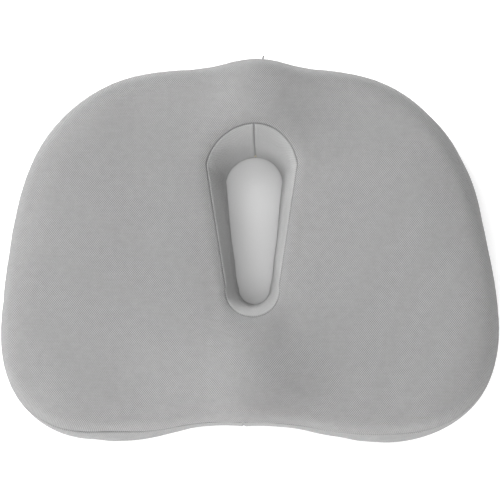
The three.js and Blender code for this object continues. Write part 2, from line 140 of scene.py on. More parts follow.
def by_length(curve, shares):
    """Points of a closed curve at these shares of its length, and its length."""
    closed = np.vstack([curve, curve[:1]])
    along = np.concatenate([[0], np.cumsum(np.linalg.norm(np.diff(closed, axis=0), axis=1))])
    wanted = (shares % 1) * along[-1]
    points = np.stack([np.interp(wanted, along, closed[:, k]) for k in (0, 1)], 1)
    return points, along[-1]


def column_shares(outline):
    """Shares of the way round: even columns, with finer ones at the seams on the centre line."""
    length = by_length(outline, np.zeros(1))[1]
    fine = np.array([0, 0.5, 1.1, 1.9, 3.0, 4.4, 6.2]) / length
    close = np.concatenate([-fine[:0:-1], fine])
    even = np.arange(COLUMNS) / COLUMNS
    far = [u for u in even if min(abs(u - c) for c in (0, 0.5, 1)) > fine[-1] + 0.4 / COLUMNS]
    return np.unique(np.round(np.concatenate([far, close % 1, 0.5 + close]), 9))


OUTLINE_CURVE = closed_spline(OUTLINE_RIGHT + OUTLINE_LEFT)
U = column_shares(OUTLINE_CURVE)
OUTLINE, ROUND = by_length(OUTLINE_CURVE, U)
RIM, RIM_ROUND = by_length(egg(*RIM_EGG), U)
BASE = by_length(egg(*BASE_EGG), U)[0]


def shifted(p):
    """The centre line isn't quite straight: the hole and the rear peak lie right of the middle."""
    x, y = p[:, 0], p[:, 1]
    shift = 4.3 + 3 * smoothstep(40, 180, y) - 8 * smoothstep(60, 165, -y)
    return np.column_stack([x + shift * bell(x, CENTRE_SHIFT_WIDTH), y])


def outward_normals(curve, shares):
    ahead = by_length(curve, shares + 2e-4)[0]
    behind = by_length(curve, shares - 2e-4)[0]
    tangent = ahead - behind
    normal = np.stack([-tangent[:, 1], tangent[:, 0]], 1)
    return normal / np.linalg.norm(normal, axis=1)[:, None]


OUTWARD = outward_normals(OUTLINE_CURVE, U)
LOBES = bell(np.abs(OUTLINE[:, 0]) - 125, 50) * smoothstep(90, 145, -OUTLINE[:, 1])
FLANK = bell(OUTLINE[:, 0] - 200, 45) * bell(OUTLINE[:, 1] - 75, 70)
TOP_INSET = SEAM_INSET + LOBE_INSET * LOBES + FLANK_INSET * FLANK
BASE_SWELL = BASE_BOW * bell(BASE[:, 1] - 12, 38) + NOSE_BOW * bell(BASE[:, 1] + 23, 14)
BASE[:, 0] += np.sign(BASE[:, 0]) * BASE_SWELL

# -------------------- heights


def seat_height(x, y):
    hip_bowl = 5 * bell(np.abs(x) - 78, 62) * bell(y - 35, 85)
    hole_dish = 7 * bell(x, 62) * bell(y - 25, 105)
    thigh_bowl = 3 * bell(np.abs(x) - 105, 55) * bell(y + 130, 60)
    rear_ridge = 13 * bell(x - 4, 46) * smoothstep(70, 130, y)
    front_ridge = (7 * bell(x, 90) + 10 * bell(x, 38)) * smoothstep(40, 110, -y)
    front_fall = 7 * smoothstep(10, 160, -y)
    return PLATEAU - hip_bowl - hole_dish - thigh_bowl + rear_ridge + front_ridge - front_fall


def fall(distance, width, drop, power):
    return drop * np.clip(1 - distance / width, 0, None) ** power


# -------------------- rows of the outer surface


def seat_row(share):
    """A row between the rim seam (0) and the top seam (1); share may differ by column."""
    seam = OUTLINE - TOP_INSET[:, None] * OUTWARD
    share = np.broadcast_to(share, len(U))[:, None]
    p = RIM + share * (seam - RIM)
    to_seam = np.linalg.norm(p - seam, axis=1)
    to_rim = np.linalg.norm(p - RIM, axis=1)
    z = seat_height(p[:, 0], p[:, 1])
    z -= fall(to_seam, CROWN_WIDTH, CROWN_DROP, 2.4) + fall(to_seam, SHOULDER_WIDTH, SHOULDER_DROP, 2.6)
    z -= fall(to_rim, RIM_WIDTH, RIM_DROP, 2)
    return np.column_stack([shifted(p), z])


SEAT_SPAN = np.linalg.norm(OUTLINE - TOP_INSET[:, None] * OUTWARD - RIM, axis=1)
TOP_Z = seat_row(1.0)[:, 2]
RIM_Z = seat_row(0.0)[:, 2]


def wall_row(inset, z):
    """Points this far inside the outline at height z, drawn onto the zip's arc at the rear."""
    inset = np.broadcast_to(inset, len(U))
    z = np.broadcast_to(z, len(U))
    p = shifted(OUTLINE - inset[:, None] * OUTWARD)
    share = smoothstep(-165, -143, -np.abs(p[:, 0])) * smoothstep(40, 100, p[:, 1])
    share = share * (1 - smoothstep(ZIP_OPEN_TOP_Z + 2, ZIP_WALL_FADE_Z, z))
    from_centre = p - [0, ZIP_CENTRE_Y]
    radius = ZIP_WALL_R - np.clip(inset - FOOT_INSET, 0, None)
    arc = from_centre * (radius / np.linalg.norm(from_centre, axis=1))[:, None] + [0, ZIP_CENTRE_Y]
    return np.column_stack([p + share[:, None] * (arc - p), z])


def band_row(z):
    t = (TOP_Z - z) / (TOP_Z - FOOT_Z)
    swell = np.sin(np.pi * np.clip(t, 0, 1) ** 0.9)
    return wall_row((TOP_INSET + t * (FOOT_INSET - TOP_INSET)) * (1 - swell), z)


def edge_row(t):
    angle = t * math.pi / 2
    inset = FOOT_INSET + (FOOT_FLAT_INSET - FOOT_INSET) * (1 - math.cos(angle))
    return wall_row(inset, GRIP_DOT + (FOOT_Z - GRIP_DOT) * (1 - math.sin(angle)))


def underside_row(t):
    outer = edge_row(1)[:, :2]
    p = outer + t * (shifted(BASE) - outer)
    lift = (SLEEVE_FOOT_Z - GRIP_DOT) * max(0, (t - 0.97) / 0.03) ** 2
    return np.column_stack([p, np.full(len(U), GRIP_DOT + lift)])


def sleeve_row(t):
    """Up the hole's wall from its foot (0) to the rim (1): a funnel, steeper at the foot."""
    weights = ((1 - t) ** 3, 3 * t * (1 - t) ** 2, 3 * t * t * (1 - t), t**3)
    across = np.dot(weights, (0, 0.14, 0.46, 1))
    z = weights[0] * SLEEVE_FOOT_Z + (weights[1] * 0.42 + weights[2] * 0.86 + weights[3]) * RIM_Z
    return np.column_stack([shifted(BASE + across * (RIM - BASE)), z])


# Distances from a seam at which rows are placed: fine at the seam, then wider.
NEAR_SEAM = np.array([0, 0.3, 0.65, 1.1, 1.8, 2.9, 4.5, 7, 10, 14])


def build_rows():
    """All rows round the section, and the first row of each panel."""
    rows, starts = [], {}
    starts["seat"] = 0
    rows += [seat_row(d / SEAT_SPAN) for d in NEAR_SEAM]
    low, high = NEAR_SEAM[-1] / SEAT_SPAN, 1 - 24 / SEAT_SPAN
    rows += [seat_row(low + (high - low) * k / 44) for k in range(1, 44)]
    rows += [seat_row(1 - d / SEAT_SPAN) for d in (24, 19)]
    rows += [seat_row(1 - d / SEAT_SPAN) for d in NEAR_SEAM[:0:-1]]
    starts["band"] = len(rows)
    rows += [band_row(TOP_Z - d) for d in NEAR_SEAM]
    low, high = TOP_Z - NEAR_SEAM[-1], ZIP_OPEN_TOP_Z + 3.2
    rows += [band_row(low + (high - low) * k / 10) for k in range(1, 10)]
    rows += [band_row(np.full(len(U), ZIP_OPEN_TOP_Z + d)) for d in NEAR_SEAM[5:0:-1]]
    starts["below_zip_top"] = len(rows)
    rows += [band_row(np.full(len(U), ZIP_OPEN_TOP_Z - d)) for d in NEAR_SEAM[:6]]
    rows += [band_row(np.full(len(U), FOOT_Z + d)) for d in (7.4, 5.8, *NEAR_SEAM[6:0:-1])]
    starts["bottom"] = len(rows)
    rows += [edge_row(t) for t in (0, 0.03, 0.07, 0.12, 0.2, 0.32, 0.46, 0.6, 0.75, 0.9)]
    rows += [underside_row(t) for t in np.linspace(0, 0.96, 25)]
    rows += [underside_row(t) for t in (0.97, 0.98, 0.988, 0.995)]
    starts["sleeve"] = len(rows)
    foot = (0, 0.006, 0.013, 0.022, 0.04)
    top = (0.945, 0.96, 0.973, 0.984, 0.992, 0.997)
    rows += [sleeve_row(t) for t in (*foot, *np.linspace(0.07, 0.93, 24), *top)]
    return np.array(rows), starts


GRID, START = build_rows()
ROWS = len(GRID)


def surface_normals(grid):
    along = np.roll(grid, -1, 1) - np.roll(grid, 1, 1)
    across = np.roll(grid, -1, 0) - np.roll(grid, 1, 0)
    normal = np.cross(along, across)
    return normal / np.linalg.norm(normal, axis=2)[:, :, None]


# -------------------- meshes


def new_object(name, vertices, faces, smooth=True):
    mesh = bpy.data.meshes.new(name)
    mesh.from_pydata(np.asarray(vertices) * MM, [], faces)
    mesh.update()
    mesh.polygons.foreach_set("use_smooth", [smooth] * len(mesh.polygons))
    item = bpy.data.objects.new(name, mesh)
    bpy.context.scene.collection.objects.link(item)
    return item


def weave_map(item, coordinates):
    """Stores the cloth's own flat coordinates, in metres, for the weave."""
    layer = item.data.uv_layers.new(name="weave")
    index = np.empty(len(item.data.loops), int)
    item.data.loops.foreach_get("vertex_index", index)
    layer.data.foreach_set("uv", (np.asarray(coordinates)[index] * MM).ravel())


def seam_shadow_map(item, shadow_amounts):
    """Stores how deep in a seam each vertex lies, for the material's painted shadow along the seams."""
    item.data.attributes.new("seam_shadow", "FLOAT", "POINT").data.foreach_set("value", shadow_amounts)


def shell(name, outer, inner, keep=None, cloth=None, seam_shadow=None):
    """A closed thin shell between two grids that go all the way round, over the cells to keep."""
    rows, columns = outer.shape[:2]
    cells = np.ones((rows - 1, columns), bool) if keep is None else keep
    r, c = np.nonzero(cells)
    d = (c + 1) % columns
    corners = np.stack([r, r, r + 1, r + 1], 1) * columns + np.stack([c, d, d, c], 1)
    offset = rows * columns
    edges = {}
    for quad in corners.tolist():
        for a, b in zip(quad, quad[1:] + quad[:1]):
            if edges.pop((b, a), None) is None:
                edges[(a, b)] = True
    walls = [(b, a, a + offset, b + offset) for a, b in edges]
    faces = corners.tolist() + (corners[:, ::-1] + offset).tolist() + walls
    points = np.vstack([outer.reshape(-1, 3), inner.reshape(-1, 3)])
    used = np.unique(np.array(faces))
    lookup = np.full(len(points), -1)
    lookup[used] = np.arange(len(used))
    item = new_object(name, points[used], lookup[np.array(faces)].tolist())
    if cloth is not None:
        flat = cloth.reshape(-1, 2)
        weave_map(item, np.vstack([flat, flat])[used])
    if seam_shadow is not None:
        seam_shadow_map(item, np.tile(seam_shadow.ravel(), 2)[used])
    return item


# -------------------- the cover's fullness

CLOTH_SPACING = 5
CLOTH_COLUMN_STEP = 3
CLOTH_FRAMES = 14
CLOTH_PRESSURE = 0.6
CLOTH_EASE = 0.006  # the cloth is cut this much larger than the form
CLOTH_OUT = 1.1  # furthest that a point may move outwards, and inwards
CLOTH_IN = 0.7
CLOTH_SLEEVE = 0.25  # share kept in the hole, where the cloth is drawn tight


def coarse_rows(spacing):
    """Rows of the grid at least this far apart, with every seam's row among them."""
    chosen = [0]
    seams = (START["band"], START["below_zip_top"], START["bottom"], START["sleeve"])
    for row in range(1, ROWS):
        step = np.linalg.norm(GRID[row] - GRID[chosen[-1]], axis=1).mean()
        if row in seams or (step > spacing and row < ROWS - 4):
            chosen.append(row)
    return np.array(chosen)


def even_columns(step):
    """One in so many of the evenly spaced columns, without the finer ones at the seams."""
    place = U * COLUMNS / step
    return np.nonzero(np.isclose(place, np.round(place), atol=1e-4))[0]


def ring_faces(count, columns):
    """Faces of a closed surface that goes round both ways."""
    corners = [(r, c) for r in range(count) for c in range(columns)]
    at = lambda r, c: (r % count) * columns + c % columns
    return [(at(r, c), at(r, c + 1), at(r + 1, c + 1), at(r + 1, c)) for r, c in corners]


def simulated(points, faces, pinned):
    """Where cloth that starts on this closed form comes to rest, held at the pinned points."""
    item = new_object("cloth_study", points, faces)
    group = item.vertex_groups.new(name="sewn")
    group.add(np.nonzero(pinned)[0].tolist(), 1.0, "REPLACE")
    cloth = item.modifiers.new("cloth", "CLOTH")
    settings = cloth.settings
    settings.quality = 6
    settings.mass = 0.25
    settings.tension_stiffness = 25
    settings.compression_stiffness = 25
    settings.shear_stiffness = 8
    settings.bending_stiffness = 0.6
    settings.air_damping = 2
    settings.shrink_min = -CLOTH_EASE
    settings.use_pressure = True
    settings.uniform_pressure_force = CLOTH_PRESSURE
    settings.effector_weights.gravity = 0
    settings.vertex_group_mass = group.name
    cloth.collision_settings.use_collision = False
    scene = bpy.context.scene
    for frame_number in range(1, CLOTH_FRAMES + 1):
        scene.frame_set(frame_number)
    seen = item.evaluated_get(bpy.context.evaluated_depsgraph_get())
    rested = np.array([v.co for v in seen.data.vertices]) / MM
    bpy.data.objects.remove(item)
    scene.frame_set(1)
    return rested


def smoothed(values, passes):
    for _ in range(passes):
        values = (np.roll(values, 1, 1) + 2 * values + np.roll(values, -1, 1)) / 4
        values = (np.roll(values, 1, 0) + 2 * values + np.roll(values, -1, 0)) / 4
    return values


def cloth_fullness():
    """How far the sewn cover stands off the plain form, from a cloth simulation between its seams."""
    rows = coarse_rows(CLOTH_SPACING)
    columns = even_columns(CLOTH_COLUMN_STEP)
    coarse = GRID[rows][:, columns]
    below = (rows >= START["below_zip_top"]) & (rows <= START["sleeve"])
    held = below | (rows == 0) | (rows == START["band"])
    pinned = np.repeat(held, len(columns))
    rested = simulated(coarse.reshape(-1, 3), ring_faces(len(rows), len(columns)), pinned)
    moved = ((rested.reshape(coarse.shape) - coarse) * surface_normals(coarse)).sum(2)
    moved = np.clip(moved, -CLOTH_IN, CLOTH_OUT)
    moved[held] = 0
    moved[rows > START["sleeve"]] *= CLOTH_SLEEVE
    by_row = np.array([np.interp(np.arange(ROWS), rows, moved[:, c]) for c in range(len(columns))]).T
    closed = np.append(U[columns], 1)
    by_row = np.column_stack([by_row, by_row[:, 0]])
    full = np.array([np.interp(U, closed, by_row[r]) for r in range(ROWS)])
    return smoothed(full, 5)


# -------------------- seams drawn in

GROOVE_DEPTH = 0.8
RIM_GROOVE = 1.0
GROOVE_WIDTH = 0.7
SEAM_PUFF = 0.22  # the turned-in edges swell beside a seam
JOIN_DEPTH = 0.9
JOIN_WIDTH = 0.95
SEAM_SHADOW_WIDTH = 0.6  # half the width of the painted shadow line along a seam
PUCKER = 0.3
PUCKER_REACH = 13


def distance_from_row(grid, row):
    """Distance of every point from the seam in this row, along its own column."""
    steps = np.linalg.norm(np.roll(grid, -1, 0) - grid, axis=2)
    order = (np.arange(ROWS) + row) % ROWS
    ahead = np.concatenate([np.zeros((1, len(U))), np.cumsum(steps[order], 0)])
    out = np.empty((ROWS, len(U)))
    out[order] = np.minimum(ahead[:-1], ahead[-1] - ahead[:-1])
    return out


def distance_from_column(grid, share):
    """Distance of every point from the seam at this share of the way round, along its own row."""
    column = int(np.argmin(np.abs(U - share)))
    across = grid - grid[:, column : column + 1]
    return np.linalg.norm(across, axis=2)


def ripple(length, pitch, phase=0.0):
    """An uneven wave round the cushion, from -1 to 1, about this far from crest to crest."""
    angle = 2 * math.pi * U
    turns = length / pitch
    waves = [(1, 0.45, 0.3), (0.61, 0.3, 1.7), (1.57, 0.25, 4.1)]
    return sum(share * np.sin(round(turns * rate) * angle + start + phase) for rate, share, start in waves)


def seam_profile(gap, depth, puff, wave):
    """A sewn seam: a narrow groove between two low swellings that rise and fall along it."""
    groove = depth * bell(gap, GROOVE_WIDTH) * (1 + 0.25 * wave)
    return groove - puff * bell(gap - 2.3, 1.3) * (1 + 0.6 * wave)


FRONT = OUTLINE[:, 1] < 0
LEFT_LOBE = bell(OUTLINE[:, 0] + 172, 32) * FRONT
RIGHT_LOBE = bell(OUTLINE[:, 0] - 125, 60) * FRONT


def seam_sizes():
    """Depth of each seam's groove and height of its swellings, at every column."""
    plain = np.ones(len(U))
    band_depth = GROOVE_DEPTH + 1.7 * LEFT_LOBE - 0.4 * RIGHT_LOBE + 1.2 * FLANK
    return {
        "seat": (RIM_GROOVE * plain, 0.1 * plain),
        "band": (band_depth, SEAM_PUFF + 0.4 * RIGHT_LOBE),
        "bottom": (GROOVE_DEPTH * plain, SEAM_PUFF * plain),
        "sleeve": (0.35 * plain, SEAM_PUFF * plain),
    }


def rim_puckers(grid):
    """Small folds of the seat cloth where it is drawn round the tight ends of the hole."""
    gap = distance_from_row(grid, 0)
    on_seat = (np.arange(ROWS) < START["band"])[:, None]
    x, y = grid[:, :, 0], grid[:, :, 1]
    spots = [(36, 103, 17), (-33, 92, 17), (12, -64, 15)]
    strength = 0.25 + sum(bell(np.hypot(x - sx, y - sy), reach) for sx, sy, reach in spots)
    rise = bell(gap, PUCKER_REACH) * (1 - bell(gap, 1.5))
    return PUCKER * ripple(RIM_ROUND, 7.5)[None, :] * rise * strength * on_seat


def drawn_in(grid, fullness):
    normal = surface_normals(grid)
    depth = np.zeros((ROWS, len(U)))
    puff = np.zeros((ROWS, len(U)))
    for name, (deepest, highest) in seam_sizes().items():
        gap = distance_from_row(grid, START[name])
        wave = ripple(RIM_ROUND if name in ("seat", "sleeve") else ROUND, 11, START[name])
        profile = seam_profile(gap, deepest, highest, wave)
        depth = np.maximum(depth, profile)
        puff = np.minimum(puff, profile)
    row = np.arange(ROWS)[:, None]
    on_band = (row >= START["band"]) & (row <= START["bottom"])
    on_sleeve = (row >= START["sleeve"]) | (row == 0)
    for share, rows, deepest in ((0, on_band, JOIN_DEPTH), (0.5, on_band, JOIN_DEPTH), (0, on_sleeve, 1.5)):
        gap = distance_from_column(grid, share)
        depth = np.maximum(depth, deepest * bell(gap, JOIN_WIDTH) * rows)
        puff = np.minimum(puff, -SEAM_PUFF * bell(gap - 2.6, 1.2) * rows)
    out = fullness + rim_puckers(grid) - depth - puff
    return grid + out[:, :, None] * normal


def painted_seam_shadow(grid):
    """How far into a seam's groove each point lies, from 0 to 1: the material darkens the cloth there,
    painted shadow in the seam.
    """
    row = np.arange(ROWS)[:, None]
    on_walls = (row >= START["band"]) & (row <= START["bottom"]) | (row >= START["sleeve"]) | (row == 0)
    parts = [
        bell(distance_from_row(grid, START["seat"]), SEAM_SHADOW_WIDTH),
        bell(distance_from_row(grid, START["band"]), SEAM_SHADOW_WIDTH) * (1 - 0.9 * RIGHT_LOBE),
        bell(distance_from_row(grid, START["bottom"]), SEAM_SHADOW_WIDTH),
        bell(distance_from_column(grid, 0), SEAM_SHADOW_WIDTH) * on_walls,
    ]
    return np.max(parts, axis=0)


SKIN = drawn_in(GRID, cloth_fullness())
SEAM_SHADOW_PAINT = painted_seam_shadow(GRID)
SKIN_NORMAL = surface_normals(SKIN)


def panel(name, first, last, keep=None, cloth=None):
    """A cover panel: a shell as thick as the fabric, from the row first to the row last."""
    rows = np.arange(first, last + 1) % ROWS
    outer = SKIN[rows]
    return shell(name, outer, outer - FABRIC * SKIN_NORMAL[rows], keep, cloth[rows], SEAM_SHADOW_PAINT[rows])


# -------------------- nodes for materials


class Nodes:
    """A short way to write a material's node tree."""

    def __init__(self, name):
        self.material = bpy.data.materials.new(name)
        self.material.use_nodes = True
        self.tree = self.material.node_tree
        self.shader = self.tree.nodes["Principled BSDF"]

    def node(self, kind, inputs=None, **settings):
        node = self.tree.nodes.new(kind)
        for key, value in settings.items():
            setattr(node, key, value)
        for key, value in (inputs or {}).items():
            self.feed(node.inputs[key], value)
        return node

    def feed(self, socket, value):
        if isinstance(value, bpy.types.NodeSocket):
            self.tree.links.new(value, socket)
        else:
            socket.default_value = value

    def set(self, **values):
        for key, value in values.items():
            self.feed(self.shader.inputs[key.replace("_", " ")], value)

    def math(self, operation, *values):
        return self.node("ShaderNodeMath", dict(enumerate(values)), operation=operation).outputs[0]

    def around(self, value, spread):
        """A noise value, from 0 to 1, turned into a change this large either way."""
        return self.math("MULTIPLY_ADD", value, 2 * spread, -spread)

    def noise(self, vector, scale, detail=2.0, roughness=0.5):
        inputs = {"Vector": vector, "Scale": scale, "Detail": detail, "Roughness": roughness}
        return self.node("ShaderNodeTexNoise", inputs).outputs["Fac"]

    def cells(self, vector, scale):
        return self.node("ShaderNodeTexVoronoi", {"Vector": vector, "Scale": scale}).outputs["Distance"]

    def wave(self, value, pitch):
        """A cosine of this pitch, in millimetres, of a length in metres."""
        return self.math("COSINE", self.math("MULTIPLY", value, 2 * math.pi / (pitch * MM)))

    def weave(self):
        """The cloth's flat coordinates, and their two parts."""
        uv = self.node("ShaderNodeUVMap", uv_map="weave").outputs["UV"]
        parts = self.node("ShaderNodeSeparateXYZ", {"Vector": uv})
        return uv, parts.outputs["X"], parts.outputs["Y"]

    def place(self):
        """The point on the object, in metres."""
        return self.node("ShaderNodeTexCoord").outputs["Object"]

    def mix(self, factor, first, second):
        node = self.node("ShaderNodeMix", data_type="RGBA")
        for key, value in ((0, factor), (6, first), (7, second)):
            self.feed(node.inputs[key], value)
        return node.outputs[2]

    def bump(self, height, distance, strength=1.0):
        inputs = {"Height": height, "Distance": distance * MM, "Strength": strength}
        return self.node("ShaderNodeBump", inputs).outputs["Normal"]


def grey(value, tint=0.0):
    return (value, value, value * (1 + tint), 1.0)


def cloth_finish(n, level=0.25, sheen=0.15):
    n.shader.inputs["Specular IOR Level"].default_value = level
    n.shader.inputs["Sheen Weight"].default_value = sheen
    n.shader.inputs["Sheen Roughness"].default_value = 0.5


KNIT_PITCH = (1.85, 2.4)  # across and up
SEAM_SHADOW_STRENGTH = 0.6  # painted shadow: how far the cloth goes to the dark grey below at the bottom of a seam
SEAM_SHADOW_GREY = 0.08


def knit_material(name, light, dark, painted_foot_light=0.0):
    """Fine bird's-eye knit: staggered raised stitches of several yarns, with darker pits between."""
    n = Nodes(name)
    uv, across, up = n.weave()
    wander = n.math("MULTIPLY_ADD", n.noise(uv, 220, 1), 0.5 * MM, -0.25 * MM)
    along = n.wave(n.math("ADD", across, wander), KNIT_PITCH[0])
    checks = n.math("MULTIPLY", along, n.wave(up, KNIT_PITCH[1]))
    edges = {"Value": checks, "From Min": -0.55, "From Max": 0.55}
    raised = n.node("ShaderNodeMapRange", edges, interpolation_type="SMOOTHSTEP").outputs["Result"]
    lean = n.math("MULTIPLY_ADD", checks, 0.22 * MM, n.math("ADD", across, wander))
    yarn = n.wave(lean, 0.46)
    fibre = n.noise(uv, 2600, 3)
    tone = n.around(n.noise(uv, 14, 3, 0.6), 0.12)
    tone = n.math("ADD", tone, n.around(n.noise(uv, 160, 2, 0.6), 0.2))
    tone = n.math("ADD", tone, n.around(fibre, 0.2))
    tone = n.math("ADD", tone, n.math("MULTIPLY", yarn, 0.06))
    colour = n.mix(n.math("ADD", raised, tone), dark, light)
    # painted shadow: the cloth darkens towards a dark grey in the bottom of each seam's groove
    seam_shadow = n.node("ShaderNodeAttribute", attribute_name="seam_shadow").outputs["Fac"]
    colour = n.mix(n.math("MULTIPLY", seam_shadow, SEAM_SHADOW_STRENGTH), colour, grey(SEAM_SHADOW_GREY))
    # painted light: the cloth's colour lightens towards the foot of the hole, standing in for light bounced
    # up from the floor
    if painted_foot_light:
        height = n.node("ShaderNodeSeparateXYZ", {"Vector": n.place()}).outputs["Z"]
        inputs = {"Value": height, "From Min": 0.05, "From Max": 0.004, "To Min": 0.0, "To Max": painted_foot_light}
        painted_bounce_light = n.node("ShaderNodeMapRange", inputs).outputs["Result"]
        colour = n.mix(painted_bounce_light, colour, grey(0.75))
    relief = n.math("ADD", raised, n.math("MULTIPLY", fibre, 0.4))
    relief = n.math("ADD", relief, n.math("MULTIPLY", yarn, 0.12))
    rough = n.math("MULTIPLY_ADD", fibre, 0.12, 0.84)
    n.set(Base_Color=colour, Normal=n.bump(relief, 0.36, 1.0), Roughness=rough)
    cloth_finish(n)
    return n.material


def grip_material(name):
    """The underside's plain cloth: a tight weave, darker than the knit."""
    n = Nodes(name)
    uv, across, up = n.weave()
    over = n.math("MULTIPLY", n.wave(across, 1.1), n.wave(up, 1.1))
    thread = n.math("MULTIPLY_ADD", over, 0.5, 0.5)
    fibre = n.noise(uv, 2200, 3)
    factor = n.math("ADD", thread, n.around(n.noise(uv, 30, 3), 0.25))
    height = n.math("ADD", thread, n.math("MULTIPLY", fibre, 0.4))
    n.set(
        Base_Color=n.mix(factor, (0.14, 0.145, 0.152, 1), (0.245, 0.25, 0.26, 1)),
        Normal=n.bump(height, 0.22, 0.7),
        Roughness=n.math("MULTIPLY_ADD", fibre, 0.15, 0.78),
    )
    cloth_finish(n)
    return n.material


def dot_material(name):
    """Printed silicone: smooth, slightly glossy, with a little dust."""
    n = Nodes(name)
    place = n.place()
    dust = n.noise(place, 900, 4, 0.7)
    n.set(
        Base_Color=n.mix(dust, (0.05, 0.052, 0.056, 1), (0.11, 0.112, 0.118, 1)),
        Normal=n.bump(n.noise(place, 2500, 2), 0.03, 0.5),
        Roughness=n.math("MULTIPLY_ADD", dust, 0.3, 0.3),
    )
    return n.material


def lining_material(name):
    """Thin white jersey: fine ribs of small V-shaped stitches."""
    n = Nodes(name)
    uv, across, up = n.weave()
    rib = n.wave(across, 1.3)
    lean = n.math("ADD", up, n.math("MULTIPLY", n.math("ABSOLUTE", rib), 0.5 * MM))
    stitch = n.math("MULTIPLY_ADD", n.wave(lean, 1.0), 0.25, 0.5)
    height = n.math("ADD", stitch, n.math("MULTIPLY", rib, 0.25))
    tone = n.math("ADD", height, n.around(n.noise(uv, 1500, 3), 0.2))
    n.set(
        Base_Color=n.mix(tone, (0.66, 0.655, 0.64, 1), (0.82, 0.815, 0.8, 1)),
        Normal=n.bump(height, 0.16, 0.7),
        Roughness=n.math("MULTIPLY_ADD", n.noise(uv, 400, 2), 0.15, 0.8),
    )
    cloth_finish(n)
    return n.material


def foam_material(name):
    """Moulded memory foam: a fine open-pored skin with a few larger bubbles."""
    n = Nodes(name)
    place = n.place()
    fine = n.math("SMOOTH_MIN", n.cells(place, 1300), 0.45, 0.2)
    large = n.math("SMOOTH_MIN", n.cells(place, 260), 0.3, 0.1)
    height = n.math("ADD", fine, n.math("MULTIPLY", large, 1.6))
    tone = n.math("ADD", height, n.around(n.noise(place, 18, 3), 0.25))
    n.set(
        Base_Color=n.mix(tone, (0.56, 0.49, 0.33, 1), (0.76, 0.69, 0.5, 1)),
        Normal=n.bump(height, 0.5, 0.8),
        Roughness=n.math("MULTIPLY_ADD", fine, 0.2, 0.78),
    )
    cloth_finish(n, 0.2, 0.1)
    return n.material


def tape_material(name):
    """Zip tape: a fine herringbone twill that turns every few millimetres across its width."""
    n = Nodes(name)
    uv, along, up = n.weave()
    turned = n.math("PINGPONG", up, 1.5 * MM)
    twill = n.wave(n.math("ADD", along, turned), 0.8)
    cord = n.wave(up, 0.5)
    thread = n.math("MULTIPLY_ADD", n.math("ADD", twill, n.math("MULTIPLY", cord, 0.4)), 0.35, 0.5)
    fibre = n.noise(uv, 3000, 2)
    n.set(
        Base_Color=n.mix(n.math("ADD", thread, n.around(fibre, 0.2)), grey(0.16), grey(0.27)),
        Normal=n.bump(thread, 0.14, 0.8),
        Roughness=n.math("MULTIPLY_ADD", fibre, 0.15, 0.72),
    )
    cloth_finish(n)
    return n.material


def thread_material(name, colour):
    """Spun polyester: two plies, seen as fine slanting grooves."""
    n = Nodes(name)
    place = n.place()
    parts = n.node("ShaderNodeSeparateXYZ", {"Vector": place})
    slant = n.math("ADD", parts.outputs["X"], n.math("MULTIPLY", parts.outputs["Z"], 1.4))
    ply = n.math("MULTIPLY_ADD", n.wave(slant, 0.45), 0.5, 0.5)
    fibre = n.noise(place, 4000, 2)
    n.set(
        Base_Color=n.mix(n.math("ADD", ply, n.around(fibre, 0.3)), grey(colour * 0.75), grey(colour * 1.2)),
        Normal=n.bump(ply, 0.08, 0.8),
        Roughness=n.math("MULTIPLY_ADD", fibre, 0.2, 0.6),
    )
    cloth_finish(n)
    return n.material


def label_material(name):
    """Woven satin ribbon: very fine ribs across, with a soft shine."""
    n = Nodes(name)
    uv, across, up = n.weave()
    rib = n.math("MULTIPLY_ADD", n.wave(up, 0.42), 0.35, 0.5)
    warp = n.math("MULTIPLY", n.wave(across, 0.3), 0.15)
    height = n.math("ADD", rib, warp)
    tone = n.math("ADD", height, n.around(n.noise(uv, 60, 3), 0.12))
    n.set(
        Base_Color=n.mix(tone, (0.31, 0.305, 0.295, 1), (0.44, 0.435, 0.42, 1)),
        Normal=n.bump(height, 0.06, 0.8),
        Roughness=n.math("MULTIPLY_ADD", n.noise(uv, 300, 2), 0.15, 0.4),
    )
    cloth_finish(n, 0.5, 0.2)
    return n.material


def nylon_material(name):
    """Drawn nylon monofilament: smooth, with faint lengthwise flow marks."""
    n = Nodes(name)
    place = n.place()
    flow = n.noise(place, 2200, 2)
    n.set(
        Base_Color=n.mix(flow, grey(0.15), grey(0.23)),
        Normal=n.bump(flow, 0.02, 0.5),
        Roughness=n.math("MULTIPLY_ADD", n.noise(place, 500, 3), 0.2, 0.3),
    )
    n.shader.inputs["Specular IOR Level"].default_value = 0.55
    return n.material


def metal_material(name):
    """Cast zinc with a dark lacquer."""
    n = Nodes(name)
    place = n.place()
    cast = n.noise(place, 1400, 4, 0.6)
    wear = n.noise(place, 260, 3, 0.6)
    n.set(
        Base_Color=n.mix(wear, (0.15, 0.153, 0.16, 1), (0.27, 0.273, 0.282, 1)),
        Normal=n.bump(cast, 0.03, 0.5),
        Roughness=n.math("MULTIPLY_ADD", cast, 0.25, 0.28),
    )
    n.shader.inputs["Metallic"].default_value = 0.85
    return n.material


KNIT = knit_material("knit", grey(0.385), grey(0.21))
# painted light: the hole's sleeve is a lighter copy of the knit so that its walls look lit, and lighter still
# at its foot
SLEEVE_KNIT = knit_material("sleeve_knit", grey(0.44), grey(0.345), painted_foot_light=0.3)
GRIP = grip_material("grip_cloth")
SILICONE = dot_material("silicone")
LINING = lining_material("lining")
FOAM = foam_material("foam")
TAPE_CLOTH = tape_material("zip_tape")
THREAD = thread_material("thread", 0.27)
RIBBON = label_material("ribbon")
NYLON = nylon_material("nylon")
METAL = metal_material("lacquered_zinc")

# -------------------- how a piece joins the frame


def add_piece(item, material, nodes=(), body="cover"):
    """Gives a finished piece its material and body, and hides the CAD nodes that it stands for."""
    item.data.materials.append(material)
    if nodes:
        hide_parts(*nodes)
    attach(item, body)
    return item


# -------------------- cover panels


